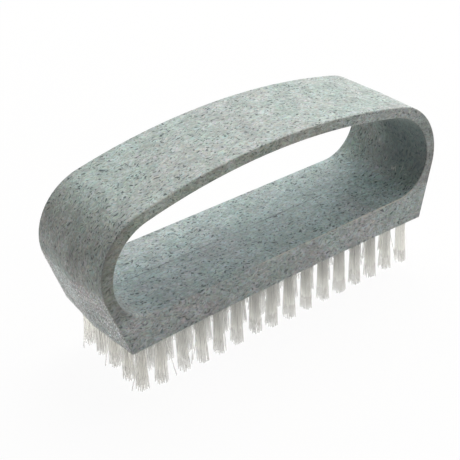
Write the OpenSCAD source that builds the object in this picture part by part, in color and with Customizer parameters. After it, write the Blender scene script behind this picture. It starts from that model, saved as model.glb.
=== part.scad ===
// Bow-handled nail brush: one moulded handle, blind holes in its underside,
// and nylon tufts that are folded over flat wire staples and driven into them.
// +X runs along the brush, +Y across it, +Z up. The origin is midway between
// the four outer corners, on the plane that the trimmed bristle tips stand on.

/* [Handle outline] */
// Length of the underside, corner to corner
block_len = 84; // [70:0.5:101]
// Height from the underside's corners to the crown of the bow
body_h = 35.3; // [29:0.1:43]
// Lean of the flat ends, outward from upright
end_lean = 17.4; // [10:0.2:22]
// Height above the underside at which the handle is longest
widest_h = 17.35; // [14:0.05:20]
// Radius of the rounded ends
end_r = 14; // [11:0.1:15]
// Rise of the underside between its two end corners
camber = 0.6; // [0.2:0.1:1]

/* [Handle width] */
// Width across the faces at the underside
body_w = 27.8; // [23:0.1:34]
// Inward lean of each face, so that the bow is narrower than the block
face_lean = 2.9; // [0.5:0.1:4]
// Draft of the outside, from each face to the parting line at mid width
outer_draft = 3.1; // [0.5:0.1:5]
// Draft of the finger opening, from each face to the parting line
inner_draft = 4.4; // [0.5:0.1:6]
// Radius on the rims of both faces
rim_r = 0.35; // [0.2:0.05:1]

/* [Finger opening] */
// Thickness of the block under the opening, measured at the faces
block_t = 7.45; // [6.2:0.05:9]
// Thickness of the bow at its crown, measured at the faces
bow_t = 2.55; // [2:0.05:4]
// Thickness of the end walls where the handle is longest
end_wall = 2.65; // [2:0.05:4]
// Radius of the opening's lower corners
low_corner_r = 9.2; // [7:0.1:11]
// Radius of the opening's upper corners
high_corner_r = 12.3; // [10:0.1:14]

/* [Tufts] */
// Tufts along the brush
columns = 16; // [10:1:20]
// Tufts across the brush
rows = 5; // [3:1:6]
// From the underside's end corner to the centre of the first tuft
end_margin = 3.45; // [2.6:0.05:6]
// From a face to the centre of the first tuft
side_margin = 3; // [2.4:0.05:5]
// Free length of the bristles below the underside's corners
bristle_len = 12.6; // [8:0.1:18]
// Diameter of each blind hole
hole_d = 2.6; // [2:0.05:3.2]
// Thickness left between the holes and the finger opening, at the faces
hole_floor = 2.05; // [1.6:0.05:2.6]
// Clearance between a packed tuft and its hole, on the radius
tuft_fit = 0.04; // [0.02:0.01:0.1]
// Diameter of a tuft across its trimmed tips
tip_d = 3; // [2.4:0.1:3.6]

/* [Staples] */
// Thickness of the flat staple wire
staple_t = 0.4; // [0.3:0.05:0.5]
// Height of a staple along its hole
staple_h = 1.6; // [1.2:0.1:2]
// How far each end of a staple bites into the wall of its hole
staple_bite = 0.3; // [0.1:0.05:0.4]
// Chamfer on the two leading corners of a staple
staple_nose = 0.35; // [0.1:0.05:0.5]
// Clearance between a staple and the filaments folded over it
staple_fit = 0.03; // [0.01:0.01:0.05]

/* [Hidden] */
$fn = 64;
eps = 0.01;
// Neighbouring stretches of a sweep overlap by this angle
lap = 0.001;

// Every part rides above the plane of the bristle tips
under_z = bristle_len;

// Sizes that two stretches share are kept to whole microns, so that they meet
function micron(v) = round(v * 1000) / 1000;

// Turns are nudged by less than 0.02 degrees, to one whose cosine and sine stay
// a unit vector when they are kept to six digits, so that nothing is stretched
function six_digits(v) = let (unit = pow(10, 5 - floor(log(abs(v))))) round(v * unit) / unit;
function stretch(a) = abs(norm([six_digits(cos(a)), six_digits(sin(a))]) - 1);
function nudged(a) =
    let (turns = [for (i = [-200:200]) a + i * 0.0001])
    let (least = min([for (turn = turns) stretch(turn)]))
    [for (turn = turns) if (stretch(turn) == least) turn][0];

// Polar angle at which the circle of radius r at c blends into an arch that
// peaks at height top over x = 0
function arch_start(c, r, top) =
    let (rise = top - c[1])
    let (arch_r = (pow(c[0], 2) + pow(rise, 2) - pow(r, 2)) / (2 * (rise - r)))
    acos(c[0] / (arch_r - r));

// Radius of that arch
function arch_r(c, r, start) = micron(r + c[0] / cos(start));

// Right-hand half of the outline on a face: [x, height above the underside].
// Every radius shrinks when the height that it has to fit in gets too low.
end_round = micron(min(end_r, 0.8 * (body_h - widest_h)));
side_len = (widest_h - end_round * sin(end_lean)) / cos(end_lean);
end_x = block_len / 2 + side_len * sin(end_lean) - end_round * cos(end_lean);
end_c = [micron(end_x), widest_h];
end_turn = nudged(end_lean + arch_start(end_c, end_round, body_h));
crown_start = end_turn - end_lean;
crown_r = arch_r(end_c, end_round, crown_start);

// Right-hand half of the finger opening on a face
gap_half = end_c[0] + end_round - end_wall;
gap_top = body_h - bow_t;
low_round = micron(min(low_corner_r, 0.4 * (gap_top - block_t)));
gap_mid = block_t + low_round;
high_round = micron(min(high_corner_r, 0.8 * (gap_top - gap_mid)));
low_c = [gap_half - low_round, gap_mid];
high_c = [gap_half - high_round, gap_mid];
vault_start = nudged(arch_start(high_c, high_round, gap_top));
vault_r = arch_r(high_c, high_round, vault_start);

// Depth of every drafted profile: from a face to just past mid width
half_depth = body_w / 2 + 1;
outer_gain = micron(half_depth * tan(outer_draft));
inner_loss = micron(half_depth * tan(inner_draft));
// Length of stock below the underside, which the camber cut removes
stock = 6;
// Thickness of the ring that the opening's walls are cut from, and its middle
ring_t = end_round * 0.6;
ring_mid = end_round - ring_t / 2;
block_top = end_c + ring_mid * [cos(end_lean), -sin(end_lean)];
block_foot = block_top - (side_len + stock - 1) * [sin(end_lean), cos(end_lean)];
camber_r = (pow(block_len / 2, 2) + pow(camber, 2)) / (2 * camber);

// The tufts are spread evenly between the margins
column_pitch = (block_len - 2 * end_margin) / (columns - 1);
row_pitch = (body_w - 2 * side_margin) / (rows - 1);

// A tuft and its staple in their hole, measured from the tips
root_d = hole_d - 2 * tuft_fit;
hole_cone = hole_d / 5;
hole_depth = block_t - hole_floor;
hole_end = under_z + hole_depth;
fold_t = root_d / 3;
staple_top = hole_end - hole_cone - fold_t;
staple_w = hole_d + 2 * staple_bite;

rim_steps = 4;

function two(i) = i < 10 ? str("0", i) : str(i);
tuft_names = [for (i = [1:columns]) str("tuft_column_", two(i))];
staple_names = [for (i = [1:columns]) str("staple_column_", two(i))];

// ---------- drafted profiles: [distance outward, depth in from the face] ----------

// Rounded rim of a solid whose side meets the face at r
function outer_rim(r) =
    let (c = rim_r * tan(outer_draft) - rim_r / cos(outer_draft))
    [for (i = [0:rim_steps]) let (a = -90 + i * (90 - outer_draft) / rim_steps)
        [r + micron(c + rim_r * cos(a)), micron(rim_r + rim_r * sin(a))]];

// Rounded rim of an opening whose side meets the face at r
function inner_rim(r) =
    let (c = rim_r / cos(inner_draft) - rim_r * tan(inner_draft))
    [for (i = [0:rim_steps]) let (a = -90 - i * (90 - inner_draft) / rim_steps)
        [r + micron(c + rim_r * cos(a)), micron(rim_r + rim_r * sin(a))]];

// Ring of the handle, from r - ring_t out to r, and wider at mid width
module ring_profile(r)
    polygon(concat(
        [[r - ring_t, half_depth], [r - ring_t, 0]],
        outer_rim(r),
        [[r + outer_gain, half_depth]]));

// Cutter of the opening, from r - back out to r, narrower at mid width
module gap_profile(r, back)
    polygon(concat(
        [[r - back, half_depth], [r - back, -1], [inner_rim(r)[0][0], -1]],
        inner_rim(r),
        [[r - inner_loss, half_depth]]));

// Frame at point c of the outline, with X turned to the polar angle a
module ray(c, a)
    translate([c[0], 0, c[1]])
        rotate([0, -a, 0])
            children();

// Sweeps a profile through an angle round the frame's Y axis
module bend(angle)
    rotate([90, 0, 0])
        rotate_extrude(angle = angle, $fn = 180)
            children();

// Sweeps a profile a length back along the frame's Z axis
module straight(len)
    translate([0, 0, -len])
        mirror([0, 1, 0])
            linear_extrude(height = len)
                children();

// Extrudes an outline drawn on a face inward through the depth of a half
module filler(from, points)
    translate([0, -from, 0])
        rotate([90, 0, 0])
            linear_extrude(height = half_depth - from)
                polygon(points);

// ---------- handle ----------

// One quarter of the handle with its opening unfilled, in the face's frame
module quarter_outside() {
    ray(end_c, -end_lean) {
        straight(side_len + stock) ring_profile(end_round);
        bend(end_turn + lap) ring_profile(end_round);
        rotate([0, -end_turn, 0])
            translate([end_round - crown_r, 0, 0])
                bend(91 - crown_start) ring_profile(crown_r);
    }
    filler(0, [
        [-stock, block_top[1]],
        [-stock, block_foot[1]],
        block_foot,
        block_top]);
}

// One quarter of the finger opening, in the face's frame
module quarter_gap() {
    ray(low_c, -90) {
        straight(low_c[0] + stock) gap_profile(low_round, low_round);
        bend(90) gap_profile(low_round, low_round);
    }
    ray(high_c, 0)
        bend(vault_start + lap) gap_profile(high_round, high_round);
    ray(high_c, vault_start)
        translate([high_round - vault_r, 0, 0])
            bend(91 - vault_start) gap_profile(vault_r, high_round);
    filler(-1, [
        [-stock, gap_mid - low_round / 2],
        [high_c[0], gap_mid - low_round / 2],
        high_c,
        high_c + high_round * 0.2 * [cos(vault_start), sin(vault_start)],
        [0, gap_top - high_round * 0.8],
        [-stock, gap_top - high_round * 0.8]]);
}

// The quarter of the handle that lies on the +X and +Y sides
module quarter_handle()
    intersection() {
        translate([0, body_w / 2, 0])
            rotate([face_lean, 0, 0])
                difference() {
                    quarter_outside();
                    quarter_gap();
                }
        translate([0, 0, -2 * stock])
            cube([block_len, body_w, body_h + 4 * stock]);
    }

module half_handle() {
    quarter_handle();
    mirror([1, 0, 0]) quarter_handle();
}

// Takes the stock off below the cambered underside
module camber_cut()
    translate([0, 0, camber - camber_r])
        rotate([90, 0, 0])
            cylinder(r = camber_r, h = 2 * body_w, center = true, $fn = 720);

module each_tuft(column)
    for (row = [1:rows])
        translate([
            (column - (columns + 1) / 2) * column_pitch,
            (row - (rows + 1) / 2) * row_pitch,
            0])
            children();

// Blind hole with a drill-pointed end, and the track that its staple cuts
module hole() {
    translate([0, 0, under_z - stock])
        cylinder(d = hole_d, h = stock + hole_depth - hole_cone);
    translate([0, 0, hole_end - hole_cone])
        cylinder(d1 = hole_d, d2 = hole_d / 2, h = hole_cone);
    translate([-staple_w / 2, -staple_t / 2, under_z - stock])
        cube([staple_w, staple_t, staple_top - under_z + stock]);
}

module handle()
    color([0.60, 0.65, 0.63])
        difference() {
            translate([0, 0, under_z]) {
                half_handle();
                mirror([0, 1, 0]) half_handle();
            }
            translate([0, 0, under_z]) camber_cut();
            for (column = [1:columns])
                each_tuft(column) hole();
        }

// ---------- tufts and staples ----------

// Bundle of filaments, folded over its staple and flaring to trimmed tips
module tuft()
    difference() {
        union() {
            cylinder(d1 = tip_d, d2 = root_d, h = under_z);
            intersection() {
                translate([0, 0, under_z])
                    cylinder(d = root_d, h = staple_top + fold_t - under_z);
                union() {
                    translate([-root_d, -root_d, under_z])
                        cube([2 * root_d, 2 * root_d, staple_top - under_z - staple_h / 2]);
                    translate([0, 0, staple_top + fold_t - root_d / 2 - eps])
                        rotate([0, 90, 0])
                            cylinder(d = root_d + eps, h = 2 * root_d, center = true);
                }
            }
        }
        translate([-root_d, -staple_t / 2 - staple_fit, staple_top - staple_h - staple_fit])
            cube([2 * root_d, staple_t + 2 * staple_fit, staple_h + 2 * staple_fit]);
    }

// Flat wire staple, its leading corners broken so that it enters the hole
module staple()
    translate([0, staple_t / 2, staple_top])
        rotate([90, 0, 0])
            linear_extrude(height = staple_t)
                polygon([
                    [-staple_w / 2, -staple_h],
                    [staple_w / 2, -staple_h],
                    [staple_w / 2, -staple_nose],
                    [staple_w / 2 - staple_nose, 0],
                    [staple_nose - staple_w / 2, 0],
                    [-staple_w / 2, -staple_nose]]);

module tuft_column(column)
    color([0.90, 0.89, 0.85])
        each_tuft(column) tuft();

module staple_column(column)
    color([0.75, 0.70, 0.55])
        each_tuft(column) staple();

handle();
for (i = [1:columns]) {
    tuft_column(i);
    staple_column(i);
}
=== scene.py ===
"""Looks of the nail brush: stone-fleck plastic, loose nylon filaments, and a pale studio.

Everything is in metres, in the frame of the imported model. The filaments take their
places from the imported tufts, and the handle and the staples keep their own shapes.
"""
import math
import random

import bpy
from mathutils import Matrix, Vector

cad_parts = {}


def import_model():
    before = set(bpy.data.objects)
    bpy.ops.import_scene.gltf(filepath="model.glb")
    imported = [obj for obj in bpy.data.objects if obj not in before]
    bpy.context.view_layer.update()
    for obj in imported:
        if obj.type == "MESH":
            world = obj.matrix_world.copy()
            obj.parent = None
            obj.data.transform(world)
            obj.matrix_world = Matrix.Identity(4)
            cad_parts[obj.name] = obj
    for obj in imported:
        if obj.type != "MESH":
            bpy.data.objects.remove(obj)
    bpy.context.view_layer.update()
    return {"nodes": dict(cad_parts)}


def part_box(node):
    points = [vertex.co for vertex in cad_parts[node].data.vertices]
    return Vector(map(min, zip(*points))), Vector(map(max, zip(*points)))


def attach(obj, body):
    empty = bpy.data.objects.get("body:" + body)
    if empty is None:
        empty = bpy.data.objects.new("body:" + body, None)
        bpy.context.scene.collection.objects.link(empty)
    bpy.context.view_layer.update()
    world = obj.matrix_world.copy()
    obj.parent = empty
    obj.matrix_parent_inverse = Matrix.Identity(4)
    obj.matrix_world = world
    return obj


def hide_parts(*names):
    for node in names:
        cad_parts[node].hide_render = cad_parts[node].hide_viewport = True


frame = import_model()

MM = 0.001
SEED = 11
WHITE = (1, 1, 1, 1)

# ---------- tufts ----------
ROWS = 5
FILAMENT_R = 0.12 * MM
FILAMENT_SIDES = 6
PACKING = 2.55           # distance between filaments, in filament radii
ROOT_SHARE = 0.80        # radius of the tuft in its hole, as a share of its radius at the tips
TIP_DROP = 0.6 * MM      # how far the longest filaments pass the trimmed tips
LEG_STEPS = (0.0, 0.34, 0.67, 1.0)
LEG_CURVE = 1.15         # above 1, a leg leans out more towards its tip
FLARE = (1.0, 1.9)       # least and most of a leg's flare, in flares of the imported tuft
STRAY_SHARE = 0.05       # share of the legs that stray

# the staple, and the filaments folded over it
STAPLE_HALF = 0.23 * MM  # half the staple's thickness, with clearance
FOLD_ROOM = 0.84 * MM    # from the top of the tuft down to the staple
FOLD_START = 0.4 * MM    # from the top of the staple down to where the folds begin
FOLD_LEAST = 0.5 * MM    # least height of a fold
FOLD_RISE = 0.72         # height that a fold gains, as a share of its distance from the staple
FOLD_STEPS = 6

# spreads of the filaments, in millimetres: mean and standard deviation, or the widest
LENGTH_OF_TUFT = (0.08, 0.22)
LENGTH_OF_LEG = (0, 0.10)
LEAN_X = (0, 0.26)
LEAN_Y = (0, 0.20)
JITTER = (0, 0.05)
STRAY_X = 2.4
STRAY_Y = 1.2
STRAY_SHORTER = 1.2

# ---------- handle ----------
BLOCK_TOP = 20.4 * MM    # height of the flat inside the loop at mid width, above the tips
INNER_END = 41 * MM      # from mid length to the inside of the loop's end

# ---------- plastic ----------
GRAIN = 0.33 * MM        # width of a grain of the stone effect
SWERVE = 2.4 * MM        # how far the flow of the plastic wanders
DRAWN = 0.50             # flecks are longer along the flow by 1 over this
CLARITY_LEVEL = 0.95     # how strongly the flecks show on level walls,
CLARITY_FACES = 0.66     # on the faces,
CLARITY_ENDS = 0.76      # and on the ends
# flecks: size, share of the places taken, depth of colour, colour
FLECKS = [
    (0.21 * MM, 0.60, 0.80, (0.080, 0.110, 0.112, 1)),
    (0.30 * MM, 0.66, 0.96, (0.040, 0.060, 0.062, 1)),
    (0.36 * MM, 0.34, 0.98, (0.028, 0.042, 0.044, 1)),
]
# the mould's halves met at mid width, and left a line along the flat inside the loop
PARTING_HALF = 0.10 * MM
PARTING_SWAY = 0.10 * MM
PARTING_FADE = 2.2 * MM

PLASTIC_ROUGHNESS = (0.36, 0.50)
WORN_SMOOTHER = 0.10     # taken off the roughness where the rims are worn

# colours of the stone's grains
GREEN = (0.350, 0.500, 0.458, 1)
MAUVE = (0.510, 0.460, 0.456, 1)
OLIVE = (0.435, 0.485, 0.385, 1)
BLUE = (0.415, 0.468, 0.540, 1)
# colours that lie over it: painted shade inside the ends, grime and painted shade by the parting
# line, painted shade round the ends' rims, and pale scratches and rims, wear with painted
# highlights
INSIDE_SHADE = (0.135, 0.170, 0.190, 1)
LINE_GRIME_AND_SHADE = (0.075, 0.090, 0.092, 1)
END_RIM_SHADE = (0.13, 0.13, 0.12, 1)
SCRATCH_HIGHLIGHT = (0.82, 0.80, 0.74, 1)
PALE_WEAR_AND_HIGHLIGHT = (0.66, 0.66, 0.62, 1)
YELLOW_WEAR_AND_HIGHLIGHT = (0.70, 0.68, 0.58, 1)
# tints that it is multiplied by: drifts of hue, painted light low on the ends, painted light
# colour on the flat and faces, and painted shade on the bow's faces
GREENER = (0.965, 1.015, 1.0, 1)
PINKER = (1.03, 0.985, 0.995, 1)
LOW_END_LIGHT_TINT = (1.035, 0.975, 1.02, 1)
FLAT_LIGHT_TINT = (0.985, 1.01, 1.045, 1)
FACE_LIGHT_TINT = (1.01, 0.995, 1.035, 1)
BOW_SHADE_DARK = (0.76, 0.765, 0.70, 1)
BOW_SHADE_LIGHT = (0.92, 0.92, 0.89, 1)

# scales of the noises on the plastic, in features per metre
HUES = 75
GRIME = 95
GAPS = 130
STAINS = 170
SCRATCHED_PLACES = 210
CLOUDS = 260
SHEEN = 320
FLOW = 400
SCRATCHES = 420
WANDER = 500
SKIN = 1500
GRIT = 4200

# ---------- nylon and wire ----------
NYLON = (0.965, 0.95, 0.85, 1)
NYLON_PALE = (0.995, 0.99, 0.93, 1)
NYLON_WHITE = (1.0, 0.995, 0.98, 1)
NYLON_YELLOWER = (0.955, 0.925, 0.83, 1)
NYLON_ROUGHNESS = (0.48, 0.62)
STRANDS = 3200           # features per metre, as for the plastic
ALONG_STRANDS = 900
CLEAR_FIRST = 0.36       # how clear nylon is to a ray that has passed through it once at most,
CLEAR_DEEP = 0.97        # and twice or more, so that a bundle doesn't go black inside
CLEAR_INNER = 0.26       # how much clearer the inner rows are
CLEAR_TO_LAMPS = 0.92    # how clear nylon is to a lamp's light
BRASS = (0.72, 0.60, 0.36, 1)
BRASS_DULL = (0.55, 0.43, 0.24, 1)
BRASS_ROUGHNESS = (0.25, 0.42)
DRAW_MARKS = 9000
DULL_PLACES = 700

# ---------- camera ----------
AZIMUTH = -37.19
ELEVATION = 29.095
DISTANCE = 0.23924
ROLL = -2.762
LENS = 82.925
SENSOR = 36
PIVOT = Vector((0, 0, 0.0326))
AIM = Vector((-0.006846, -0.001581, 0.0229))

# ---------- lamps: name, direction from the object, watts, tint ----------
LAMP_SIZE = 0.9
LAMP_REACH = 1.5
LAMP_AIM = Vector((0, 0, 0.02))
LAMPS = [
    ("above", (0.3, 0.2, 0.93), 9.1, (1.0, 0.985, 0.90)),
    ("right", (0.8, 0.0, 0.6), 6.3, (1.0, 0.985, 0.96)),
    ("right_low", (0.9, 0.3, 0.35), 4.2, (1.0, 0.985, 0.98)),
    ("right_front", (0.6, -0.6, 0.6), 4.9, (1.0, 0.965, 0.97)),
    ("back_right", (0.5, 0.55, 0.7), 4.9, (0.91, 0.97, 1.0)),
    ("back", (0.0, 0.8, 0.6), 4.2, (0.86, 0.95, 1.0)),
    ("back_left", (-0.6, 0.6, 0.6), 0.9, (1.0, 0.93, 0.80)),
]
SKY = 0.02

# ---------- floor ----------
FLOOR_HALF = 3.0
FLOOR_DARK = (0.955, 0.920, 0.915, 1)
FLOOR_LIGHT = (0.965, 0.935, 0.93, 1)
FLOOR_GRAIN = 40
PLAIN_NEAR = 0.95        # share of plain white that the camera sees in the floor near the brush
SHADOW_NEAR = 0.08       # from mid length to where the shadow starts to fade
SHADOW_FAR = 0.45        # and to where it's gone


# ---------- node helpers ----------

def new_material(name):
    material = bpy.data.materials.new(name)
    material.use_nodes = True
    material.node_tree.nodes.clear()
    return material, material.node_tree


def fill(tree, socket, value):
    """Gives an input its value: a number, a colour, or another node's socket."""
    if isinstance(value, bpy.types.NodeSocket):
        tree.links.new(value, socket)
    else:
        socket.default_value = value


def add(tree, kind, inputs=None, **settings):
    """A node of that kind, with what its inputs are filled with and its other settings."""
    node = tree.nodes.new(kind)
    for key, value in settings.items():
        setattr(node, key, value)
    for key, value in (inputs or {}).items():
        fill(tree, node.inputs[key], value)
    return node


def math_node(tree, operation, a, b=0.0, clamp=False):
    return add(tree, "ShaderNodeMath", {0: a, 1: b},
               operation=operation, use_clamp=clamp).outputs[0]


def times(tree, first, *others):
    """The product of the values."""
    for other in others:
        first = math_node(tree, "MULTIPLY", first, other)
    return first


def magnitude(tree, value):
    return math_node(tree, "ABSOLUTE", value)


def most(tree, a, b):
    return math_node(tree, "MAXIMUM", a, b)


def ramp(tree, value, low, high, low_out=0.0, high_out=1.0):
    """value, carried smoothly from low..high to low_out..high_out."""
    return add(tree, "ShaderNodeMapRange", {
        "Value": value, "From Min": low, "From Max": high,
        "To Min": low_out, "To Max": high_out,
    }, interpolation_type="SMOOTHSTEP").outputs[0]


def blend(tree, factor, a, b, mode="MIX"):
    node = add(tree, "ShaderNodeMix", data_type="RGBA", blend_type=mode)
    for socket, value in ((node.inputs[0], factor), (node.inputs[6], a), (node.inputs[7], b)):
        fill(tree, socket, value)
    return node.outputs[2]


def tinted(tree, colour, tint):
    return blend(tree, 1.0, colour, tint, mode="MULTIPLY")


def grey(tree, value):
    return add(tree, "ShaderNodeCombineColor", {0: value, 1: value, 2: value}).outputs[0]


def noise(tree, vector, scale, detail=2.0, rough=0.5):
    return add(tree, "ShaderNodeTexNoise", {
        "Vector": vector, "Scale": scale, "Detail": detail, "Roughness": rough,
    }).outputs["Fac"]


def cells(tree, vector, scale, feature="F1"):
    return add(tree, "ShaderNodeTexVoronoi", {
        "Vector": vector, "Scale": scale, "Randomness": 1.0}, feature=feature).outputs


def stretched(tree, vector, scale):
    return add(tree, "ShaderNodeVectorMath", {0: vector, 1: scale},
               operation="MULTIPLY").outputs[0]


def swayed(tree, vector, scale, detail, amount):
    """vector, moved about by a noise of that scale, up to half of amount each way."""
    sway = add(tree, "ShaderNodeTexNoise", {"Vector": vector, "Scale": scale, "Detail": detail})
    centred = add(tree, "ShaderNodeVectorMath", {
        0: sway.outputs["Color"], 1: (0.5, 0.5, 0.5)}, operation="SUBTRACT")
    return add(tree, "ShaderNodeVectorMath", {
        0: centred.outputs[0], 1: (amount, amount, amount), 2: vector,
    }, operation="MULTIPLY_ADD").outputs[0]


def bumped(tree, height, strength, distance):
    return add(tree, "ShaderNodeBump", {
        "Strength": strength, "Distance": distance, "Height": height}).outputs[0]


def finish_material(tree, shader):
    output = add(tree, "ShaderNodeOutputMaterial")
    tree.links.new(shader, output.inputs["Surface"])


def place_on_piece(tree):
    return add(tree, "ShaderNodeTexCoord").outputs["Object"]


def axes(tree, vector):
    """The vector's X, Y and Z."""
    return add(tree, "ShaderNodeSeparateXYZ", {0: vector}).outputs


class Spot:
    """Where a point of the handle lies, and which way it faces, as sockets of a node tree."""

    def __init__(self, tree):
        self.place = place_on_piece(tree)
        self.x, self.y, self.z = axes(tree, self.place)
        facing = add(tree, "ShaderNodeTexCoord").outputs["Normal"]
        self.facing_x, self.facing_y, self.facing_z = axes(tree, facing)


# ---------- plastic ----------

def flecks(tree, place, size, share):
    """Scattered specks about size wide: 1 inside a speck, 0 outside, on a share of the cells."""
    bent = swayed(tree, place, 1.3 / size, 3.0, 1.3 * size)
    near = cells(tree, bent, 0.5 / size)
    pick = add(tree, "ShaderNodeSeparateColor", {0: near["Color"]})
    chosen = math_node(tree, "LESS_THAN", pick.outputs[0], share)
    reach = ramp(tree, pick.outputs[1], 0.0, 1.0, 0.16, 0.42)
    inner = times(tree, reach, 0.6)
    speck = add(tree, "ShaderNodeMapRange", {
        "Value": near["Distance"], "From Min": reach, "From Max": inner,
        "To Min": 0.0, "To Max": 1.0})
    return math_node(tree, "MULTIPLY", speck.outputs[0], chosen, clamp=True)


def stone(tree, place, draw, strength, cloud):
    """Colour of the stone effect: fine grains, and dark flecks drawn out along the flow."""
    # the flow wanders a little, so the flecks don't all lie one way
    flow = stretched(tree, swayed(tree, place, FLOW, 1.0, SWERVE), draw)
    grains = cells(tree, swayed(tree, flow, 1.4 / GRAIN, 1.0, GRAIN), 1 / GRAIN)
    level, green_mauve, olive_blue = add(
        tree, "ShaderNodeSeparateColor", {0: grains["Color"]}).outputs

    body = blend(tree, green_mauve, GREEN, MAUVE)
    body = blend(tree, 0.5, body, blend(tree, olive_blue, OLIVE, BLUE))
    shade = ramp(tree, level, 0.0, 1.0, 0.78, 1.24)
    shade = times(tree, shade, ramp(tree, cloud, 0.3, 0.7, 0.86, 1.15))
    body = tinted(tree, body, grey(tree, shade))
    for size, share, depth, colour in FLECKS:
        speck = flecks(tree, flow, size, share)
        body = blend(tree, times(tree, speck, times(tree, strength, depth)), body, colour)
    return body


def walls(tree, spot, cloud, on_end):
    """Plastic that flowed along the walls: along X on level ones, and along Z on the ends."""
    clarity = ramp(tree, magnitude(tree, spot.facing_y), 0.6, 0.9,
                   CLARITY_LEVEL, CLARITY_FACES)
    level_walls = stone(tree, spot.place, (DRAWN, 1.0, 1.0), clarity, cloud)
    end_walls = stone(tree, spot.place, (1.0, 1.0, DRAWN), CLARITY_ENDS, cloud)
    body = blend(tree, on_end, level_walls, end_walls)
    # the mix of colours drifts from greener to pinker over a centimetre or so
    hue = ramp(tree, noise(tree, spot.place, HUES, 3.0, 0.6), 0.38, 0.62)
    return tinted(tree, body, blend(tree, hue, GREENER, PINKER))


def lit_low_ends(tree, spot, body, on_end, outward):
    """The outsides of the ends, painted paler with grit below their widest place, as light
    thrown up from the white floor, the left one more.
    """
    ragged = ramp(tree, noise(tree, spot.place, CLOUDS, 3.0, 0.6), 0.3, 0.7, -0.05, 0.05)
    low_end_light = ramp(tree, math_node(tree, "ADD", spot.facing_z, ragged), -0.08, -0.25)
    low_end_light = times(
        tree, low_end_light,
        ramp(tree, outward, 0.0, 0.3 * INNER_END),
        ramp(tree, spot.x, -INNER_END, INNER_END, 1.0, 0.55),
        ramp(tree, spot.facing_z, -0.8, -0.6),
        on_end)
    grit = noise(tree, stretched(tree, spot.place, (1.0, 1.0, 0.6)), GRIT, 2.0, 0.65)
    gain = times(tree, low_end_light, ramp(tree, grit, 0.38, 0.62, -0.58, 1.12))
    body = tinted(tree, body, grey(tree, math_node(tree, "ADD", 1.0, gain)))
    return blend(tree, low_end_light, body, tinted(tree, body, LOW_END_LIGHT_TINT))


def shaded_insides(tree, spot, body, outward):
    """Painted shade, which darkens the insides of the loop's ends, most towards the front."""
    inside = ramp(tree, outward, -0.36 * INNER_END, -INNER_END)
    inside = times(tree, inside, ramp(tree, spot.y, -4 * MM, 5 * MM, 0.60, 0.06))
    return blend(tree, inside, body, INSIDE_SHADE)


def light_tint_of(tree, spot, cloud, on_flat):
    """Painted light colour: a bluer cast of light on the flat inside the loop, a greyer one on
    the block's faces, and painted olive shade on the bow's faces, patchy and strongest towards
    the left."""
    faces = ramp(tree, magnitude(tree, spot.facing_y), 0.45, 0.95)
    on_bow = ramp(tree, spot.z, BLOCK_TOP + 2 * MM, BLOCK_TOP + 8 * MM)
    on_bow = times(tree, on_bow, ramp(tree, spot.x, 8 * MM, 22 * MM, 1.0, 0.25))
    # painted olive shade on the bow's faces, patchy
    bow_shade = blend(tree, ramp(tree, cloud, 0.3, 0.7), BOW_SHADE_DARK, BOW_SHADE_LIGHT)
    face_tint = blend(tree, on_bow, FACE_LIGHT_TINT, bow_shade)
    return blend(tree, faces, blend(tree, on_flat, WHITE, FLAT_LIGHT_TINT), face_tint)


def parting_line(tree, spot, body, on_flat):
    """Grime in the parting line, and painted shade on the half before it."""
    wander = ramp(tree, noise(tree, spot.place, WANDER, 3.0, 0.6),
                  0.2, 0.8, -PARTING_SWAY, PARTING_SWAY)
    across = math_node(tree, "ADD", spot.y, wander)
    away = magnitude(tree, across)
    beside = ramp(tree, away, PARTING_HALF, 3 * PARTING_HALF)
    line = times(
        tree, math_node(tree, "SUBTRACT", 1.0, beside),
        ramp(tree, noise(tree, spot.place, GAPS, 3.0, 0.6), 0.3, 0.65, 0.15, 0.62),
        ramp(tree, spot.x, 6 * MM, 28 * MM, 1.0, 0.35))
    # painted shade on the front half of the flat, stronger near the line and to the left
    before = times(
        tree, math_node(tree, "LESS_THAN", across, 0.0),
        ramp(tree, away, 0.0, PARTING_FADE, 0.16, 0.07),
        ramp(tree, spot.x, -4 * MM, 20 * MM, 1.0, 0.0))
    return blend(tree, times(tree, most(tree, line, before), on_flat), body, LINE_GRIME_AND_SHADE)


def highlighted_scratches(tree, spot, body, on_end):
    """Short scratches round the ends, painted pale as highlights."""
    bent = stretched(tree, spot.place, (1.0, 1.0, 0.35))
    lines = cells(tree, bent, SCRATCHES, "DISTANCE_TO_EDGE")["Distance"]
    scratch = times(
        tree, ramp(tree, lines, 0.012, 0.045, 1.0, 0.0),
        ramp(tree, noise(tree, spot.place, SCRATCHED_PLACES, 2.0, 0.5), 0.60, 0.67),
        times(tree, on_end, 0.8))
    return blend(tree, scratch, body, SCRATCH_HIGHLIGHT)


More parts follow.
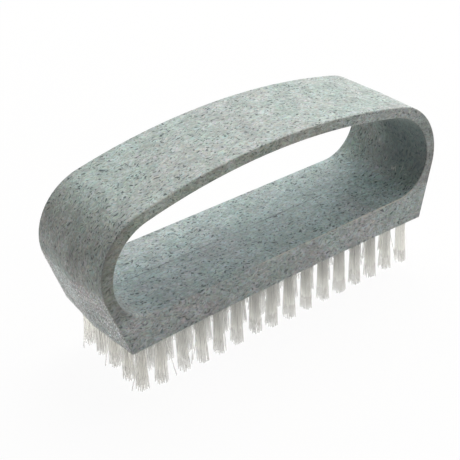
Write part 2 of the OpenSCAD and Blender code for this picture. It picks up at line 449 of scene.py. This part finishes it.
def rims(tree, spot, body):
    """Rims: worn pale in places, partly as a painted highlight, yellowish where the flat inside
    the loop meets the faces, as wear with a painted highlight, and painted shade round the ends.
    Returns the colour, and where the rims are worn smooth."""
    side = magnitude(tree, spot.facing_y)
    rim = times(tree, ramp(tree, side, 0.20, 0.45), ramp(tree, side, 0.95, 0.80))
    patches = noise(tree, spot.place, GRIME, 4.0, 0.65)
    # wear and painted highlight on the rims
    worn_and_lit_rims = times(tree, rim, ramp(tree, patches, 0.42, 0.66, 0.05, 0.55))
    body = blend(tree, worn_and_lit_rims, body, PALE_WEAR_AND_HIGHLIGHT)

    # a yellowish painted highlight, with wear, where the flat meets the faces
    low = times(
        tree, ramp(tree, spot.z, BLOCK_TOP + 0.9 * MM, BLOCK_TOP + 0.5 * MM),
        ramp(tree, spot.facing_z, 0.1, 0.3),
        ramp(tree, spot.x, -14 * MM, 6 * MM),
        ramp(tree, noise(tree, spot.place, STAINS, 4.0, 0.7), 0.35, 0.62, 0.12, 0.90))
    yellow_lit_edge = times(tree, rim, low)
    body = blend(tree, yellow_lit_edge, body, YELLOW_WEAR_AND_HIGHLIGHT)

    # painted shade on the faces and rounded edges round the ends
    far = ramp(tree, magnitude(tree, spot.x), 0.92 * INNER_END, 1.06 * INNER_END)
    far = times(tree, far, ramp(tree, spot.z, BLOCK_TOP, BLOCK_TOP + 2 * MM))
    face = times(
        tree, ramp(tree, side, 0.30, 0.9), ramp(tree, patches, 0.3, 0.6, 0.35, 0.75), 0.5)
    rounded = times(tree, ramp(tree, side, 0.05, 0.3), 0.40)
    body = blend(tree, times(tree, most(tree, face, rounded), far), body, END_RIM_SHADE)
    return body, most(tree, worn_and_lit_rims, yellow_lit_edge)


def speckled_plastic():
    material, tree = new_material("speckled_plastic")
    spot = Spot(tree)
    cloud = noise(tree, spot.place, CLOUDS, 4.0, 0.65)
    on_end = ramp(tree, magnitude(tree, spot.facing_x), 0.66, 0.70)
    outward = times(tree, spot.facing_x, spot.x)
    on_flat = times(
        tree, ramp(tree, spot.facing_z, 0.80, 0.95),
        ramp(tree, spot.z, BLOCK_TOP + 1.2 * MM, BLOCK_TOP + 0.8 * MM))

    body = walls(tree, spot, cloud, on_end)
    # painted light from the floor on the lower outsides of the ends
    body = lit_low_ends(tree, spot, body, on_end, outward)
    # painted shade inside the loop's ends
    body = shaded_insides(tree, spot, body, outward)
    # painted light colour on the flat and faces, and painted shade on the bow's faces
    body = tinted(tree, body, light_tint_of(tree, spot, cloud, on_flat))
    # grime along the parting line, and painted shade on the front half of the flat
    body = parting_line(tree, spot, body, on_flat)
    # scratches painted pale as highlights
    body = highlighted_scratches(tree, spot, body, on_end)
    # wear and painted highlights on the rims, and painted shade on them round the ends
    body, worn = rims(tree, spot, body)

    skin = noise(tree, spot.place, SKIN, 3.0, 0.6)
    gloss = ramp(tree, noise(tree, spot.place, SHEEN, 3.0, 0.6), 0.3, 0.7, *PLASTIC_ROUGHNESS)
    gloss = math_node(tree, "SUBTRACT", gloss, times(tree, worn, WORN_SMOOTHER))
    shader = add(tree, "ShaderNodeBsdfPrincipled", {
        "Base Color": body, "Roughness": gloss,
        "Normal": bumped(tree, skin, 0.14, 0.05 * MM), "Specular IOR Level": 0.30})
    finish_material(tree, shader.outputs[0])
    return material


# ---------- nylon and wire ----------

def nylon():
    material, tree = new_material("nylon_filament")
    place = place_on_piece(tree)
    x, y = axes(tree, place)[:2]
    strand = noise(tree, stretched(tree, place, (1.0, 1.0, 0.04)), STRANDS, 2.0, 0.6)
    along = noise(tree, stretched(tree, place, (0.3, 0.3, 1.0)), ALONG_STRANDS, 2.0, 0.5)
    body = blend(tree, ramp(tree, strand, 0.32, 0.68), NYLON, NYLON_PALE)
    body = blend(tree, ramp(tree, along, 0.35, 0.75, 0.0, 0.25), body, NYLON_WHITE)
    # the filaments at the left end are yellower
    left = ramp(tree, x, -30 * MM, -37 * MM, 0.0, 0.6)
    body = blend(tree, left, body, NYLON_YELLOWER)
    skin = add(tree, "ShaderNodeBsdfPrincipled", {
        "Base Color": body, "Roughness": ramp(tree, strand, 0.3, 0.7, *NYLON_ROUGHNESS),
        "Normal": bumped(tree, along, 0.15, 0.03 * MM),
        "Specular IOR Level": 0.5, "IOR": 1.45, "Transmission Weight": 0.96})

    # nylon this fine lets most of a lamp's light through, and some of what is behind it shows
    path = add(tree, "ShaderNodeLightPath").outputs
    deep = ramp(tree, path["Transmission Depth"], 1.0, 2.0, CLEAR_FIRST, CLEAR_DEEP)
    # the inner rows, lit from all round, look fainter than the outer ones
    inner = times(
        tree, ramp(tree, magnitude(tree, y), 8.0 * MM, 9.2 * MM, CLEAR_INNER, 0.0),
        ramp(tree, magnitude(tree, x), 35 * MM, 37 * MM, 1.0, 0.0))
    deep = math_node(tree, "ADD", deep, inner, clamp=True)
    lit = ramp(tree, path["Is Shadow Ray"], 0.0, 1.0, 0.0, CLEAR_TO_LAMPS)
    clear = add(tree, "ShaderNodeBsdfTransparent", {"Color": WHITE})
    shader = add(tree, "ShaderNodeMixShader", {
        0: most(tree, deep, lit), 1: skin.outputs[0], 2: clear.outputs[0]})
    finish_material(tree, shader.outputs[0])
    return material


def staple_metal():
    material, tree = new_material("staple_wire")
    place = place_on_piece(tree)
    drawn = noise(tree, stretched(tree, place, (0.06, 1.0, 1.0)), DRAW_MARKS, 2.0, 0.6)
    dull = noise(tree, place, DULL_PLACES, 3.0, 0.6)
    shader = add(tree, "ShaderNodeBsdfPrincipled", {
        "Base Color": blend(tree, ramp(tree, dull, 0.3, 0.7), BRASS, BRASS_DULL),
        "Metallic": 1.0, "Roughness": ramp(tree, drawn, 0.3, 0.7, *BRASS_ROUGHNESS),
        "Normal": bumped(tree, drawn, 0.25, 0.01 * MM)})
    finish_material(tree, shader.outputs[0])
    return material


# ---------- filaments ----------

def tube(vertices, faces, path):
    """Adds a closed tube along the path to the lists."""
    first = len(vertices)
    side = Vector((1, 0, 0))
    for i, point in enumerate(path):
        ahead = path[min(i + 1, len(path) - 1)] - path[max(i - 1, 0)]
        across = ahead.normalized().cross(side)
        if across.length < 0.1:
            across = Vector((0, 1, 0))
        across.normalize()
        other = across.cross(ahead).normalized()
        for k in range(FILAMENT_SIDES):
            turn = 2 * math.pi * k / FILAMENT_SIDES
            spoke = math.cos(turn) * across + math.sin(turn) * other
            vertices.append(point + FILAMENT_R * spoke)
    for i in range(len(path) - 1):
        for k in range(FILAMENT_SIDES):
            a = first + i * FILAMENT_SIDES + k
            b = first + i * FILAMENT_SIDES + (k + 1) % FILAMENT_SIDES
            faces.append((a, b, b + FILAMENT_SIDES, a + FILAMENT_SIDES))
    last = first + (len(path) - 1) * FILAMENT_SIDES
    faces.append(tuple(range(first + FILAMENT_SIDES - 1, first - 1, -1)))
    faces.append(tuple(range(last, last + FILAMENT_SIDES)))


def leg_places(radius):
    """Places of the legs on one side of a staple, packed in a half circle."""
    step = PACKING * FILAMENT_R
    places = []
    y = STAPLE_HALF + FILAMENT_R
    line = 0
    while y < radius:
        x = -math.floor(radius / step) * step + (line % 2) * step / 2
        while x < radius:
            if math.hypot(x, y) < radius - FILAMENT_R:
                places.append((x, y))
            x += step
        y += step * math.sqrt(3) / 2
        line += 1
    return places


def leg(rng, x, y, centre, mouth_z, tip_z, splay, lean):
    """Points down one leg, from the mouth of the hole to its tip."""
    reach = rng.uniform(*FLARE) * splay
    out_x = x * reach + rng.gauss(*JITTER) * MM
    out_y = y * reach + rng.gauss(*JITTER) * MM
    out = Vector((out_x, out_y, 0)) + lean
    root = centre + Vector((x, y, 0))
    return [root + out * t ** LEG_CURVE + Vector((0, 0, mouth_z + (tip_z - mouth_z) * t))
            for t in LEG_STEPS]


def fold(x, y, centre, base_z):
    """Points over the staple, from the leg at y to the leg at -y."""
    rise = FOLD_RISE * (y - STAPLE_HALF) + FOLD_LEAST
    points = []
    for step in range(FOLD_STEPS + 1):
        turn = math.pi * step / FOLD_STEPS
        points.append(centre + Vector((x, y * math.cos(turn), base_z + rise * math.sin(turn))))
    return points


def tuft_mesh(name, node, rng, under_z):
    low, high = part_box(node)
    tip_r = (high.x - low.x) / 2
    root_r = ROOT_SHARE * tip_r
    splay = tip_r / root_r - 1
    column_x = (low.x + high.x) / 2
    first_y = low.y + tip_r
    row_step = (high.y - low.y - 2 * tip_r) / (ROWS - 1)
    fold_z = high.z - FOLD_ROOM - FOLD_START
    vertices, faces = [], []
    for row in range(ROWS):
        centre = Vector((column_x, first_y + row * row_step, 0))
        lean = Vector((rng.gauss(*LEAN_X), rng.gauss(*LEAN_Y), 0)) * MM
        length = rng.gauss(*LENGTH_OF_TUFT) * MM
        for x, y in leg_places(root_r):
            legs = []
            for side in (1, -1):
                tip_z = max(-TIP_DROP, length + rng.gauss(*LENGTH_OF_LEG) * MM)
                stray = Vector((0, 0, 0))
                if rng.random() < STRAY_SHARE:
                    stray_x = rng.uniform(-STRAY_X, STRAY_X)
                    stray_y = rng.uniform(-STRAY_Y, STRAY_Y)
                    stray = Vector((stray_x, stray_y, 0)) * MM
                    tip_z += rng.uniform(0.0, STRAY_SHORTER) * MM
                legs.append(
                    leg(rng, x, side * y, centre, under_z, tip_z, splay, lean + stray))
            tube(vertices, faces, legs[0][::-1] + fold(x, y, centre, fold_z) + legs[1])
    mesh = bpy.data.meshes.new(name)
    mesh.from_pydata(vertices, [], faces)
    mesh.polygons.foreach_set("use_smooth", [True] * len(mesh.polygons))
    mesh.update()
    return mesh


def filaments(material):
    rng = random.Random(SEED)
    under_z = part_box("handle")[0].z
    for node in sorted(frame["nodes"]):
        if not node.startswith("tuft_column"):
            continue
        name = node.replace("tuft_column", "filaments")
        piece = bpy.data.objects.new(name, tuft_mesh(name, node, rng, under_z))
        bpy.context.scene.collection.objects.link(piece)
        piece.data.materials.append(material)
        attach(piece, "root")
        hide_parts(node)


# ---------- carried-over nodes ----------

def dress(prefix, material):
    for node, piece in frame["nodes"].items():
        if node.startswith(prefix):
            piece.data.materials.clear()
            piece.data.materials.append(material)


# ---------- studio ----------

def camera():
    turn, tilt = math.radians(AZIMUTH), math.radians(ELEVATION)
    back = Vector((
        math.sin(turn) * math.cos(tilt), -math.cos(turn) * math.cos(tilt), math.sin(tilt)))
    data = bpy.data.cameras.new("camera")
    data.lens = LENS
    data.sensor_width = SENSOR
    data.clip_start = 0.01
    data.clip_end = 20
    piece = bpy.data.objects.new("camera", data)
    place = PIVOT + back * DISTANCE
    look = (AIM - place).to_track_quat("-Z", "Y").to_matrix()
    rolled = look @ Matrix.Rotation(math.radians(ROLL), 3, "Z")
    piece.matrix_world = Matrix.Translation(place) @ rolled.to_4x4()
    bpy.context.scene.collection.objects.link(piece)
    bpy.context.scene.camera = piece


def soft_light(name, place, power, tint):
    data = bpy.data.lights.new(name, "AREA")
    data.color = tint
    data.shape = "DISK"
    data.size = LAMP_SIZE
    data.energy = power
    piece = bpy.data.objects.new(name, data)
    piece.location = place
    piece.rotation_mode = "QUATERNION"
    piece.rotation_quaternion = (place - LAMP_AIM).to_track_quat("Z", "Y")
    bpy.context.scene.collection.objects.link(piece)


def shown(tree):
    """1 on the rays that show the surroundings: to the camera, mirrored, or let through."""
    path = add(tree, "ShaderNodeLightPath").outputs
    mirrored = most(tree, path["Is Glossy Ray"], path["Is Transmission Ray"])
    return most(tree, path["Is Camera Ray"], mirrored)


def floor():
    material, tree = new_material("floor")
    place = place_on_piece(tree)
    tone = blend(tree, noise(tree, place, FLOOR_GRAIN), FLOOR_DARK, FLOOR_LIGHT)
    matt = add(tree, "ShaderNodeBsdfDiffuse", {"Color": tone})
    glow = add(tree, "ShaderNodeEmission", {"Color": WHITE, "Strength": 1.0})
    # the object's shadow shows near it, and further off the floor is plain white
    spread = add(tree, "ShaderNodeVectorMath", {0: place}, operation="LENGTH").outputs["Value"]
    share = times(
        tree, shown(tree), ramp(tree, spread, SHADOW_NEAR, SHADOW_FAR, PLAIN_NEAR, 1.0))
    mixed = add(tree, "ShaderNodeMixShader", {0: share, 1: matt.outputs[0], 2: glow.outputs[0]})
    finish_material(tree, mixed.outputs[0])
    mesh = bpy.data.meshes.new("floor")
    corners = [(-1, -1, 0), (1, -1, 0), (1, 1, 0), (-1, 1, 0)]
    mesh.from_pydata([FLOOR_HALF * Vector(corner) for corner in corners], [], [(0, 1, 2, 3)])
    piece = bpy.data.objects.new("floor", mesh)
    piece.location.z = -TIP_DROP
    mesh.materials.append(material)
    bpy.context.scene.collection.objects.link(piece)


def world():
    made = bpy.data.worlds.new("world")
    made.use_nodes = True
    tree = made.node_tree
    tree.nodes.clear()
    strength = ramp(tree, shown(tree), 0.0, 1.0, SKY, 1.0)
    sky = add(tree, "ShaderNodeBackground", {"Color": WHITE, "Strength": strength})
    output = add(tree, "ShaderNodeOutputWorld")
    tree.links.new(sky.outputs[0], output.inputs["Surface"])
    bpy.context.scene.world = made


dress("handle", speckled_plastic())
dress("staple_column", staple_metal())
filaments(nylon())
camera()
floor()
world()
for name, way, power, tint in LAMPS:
    soft_light(name, LAMP_REACH * Vector(way), power, tint)
bpy.context.scene.view_settings.view_transform = "Standard"
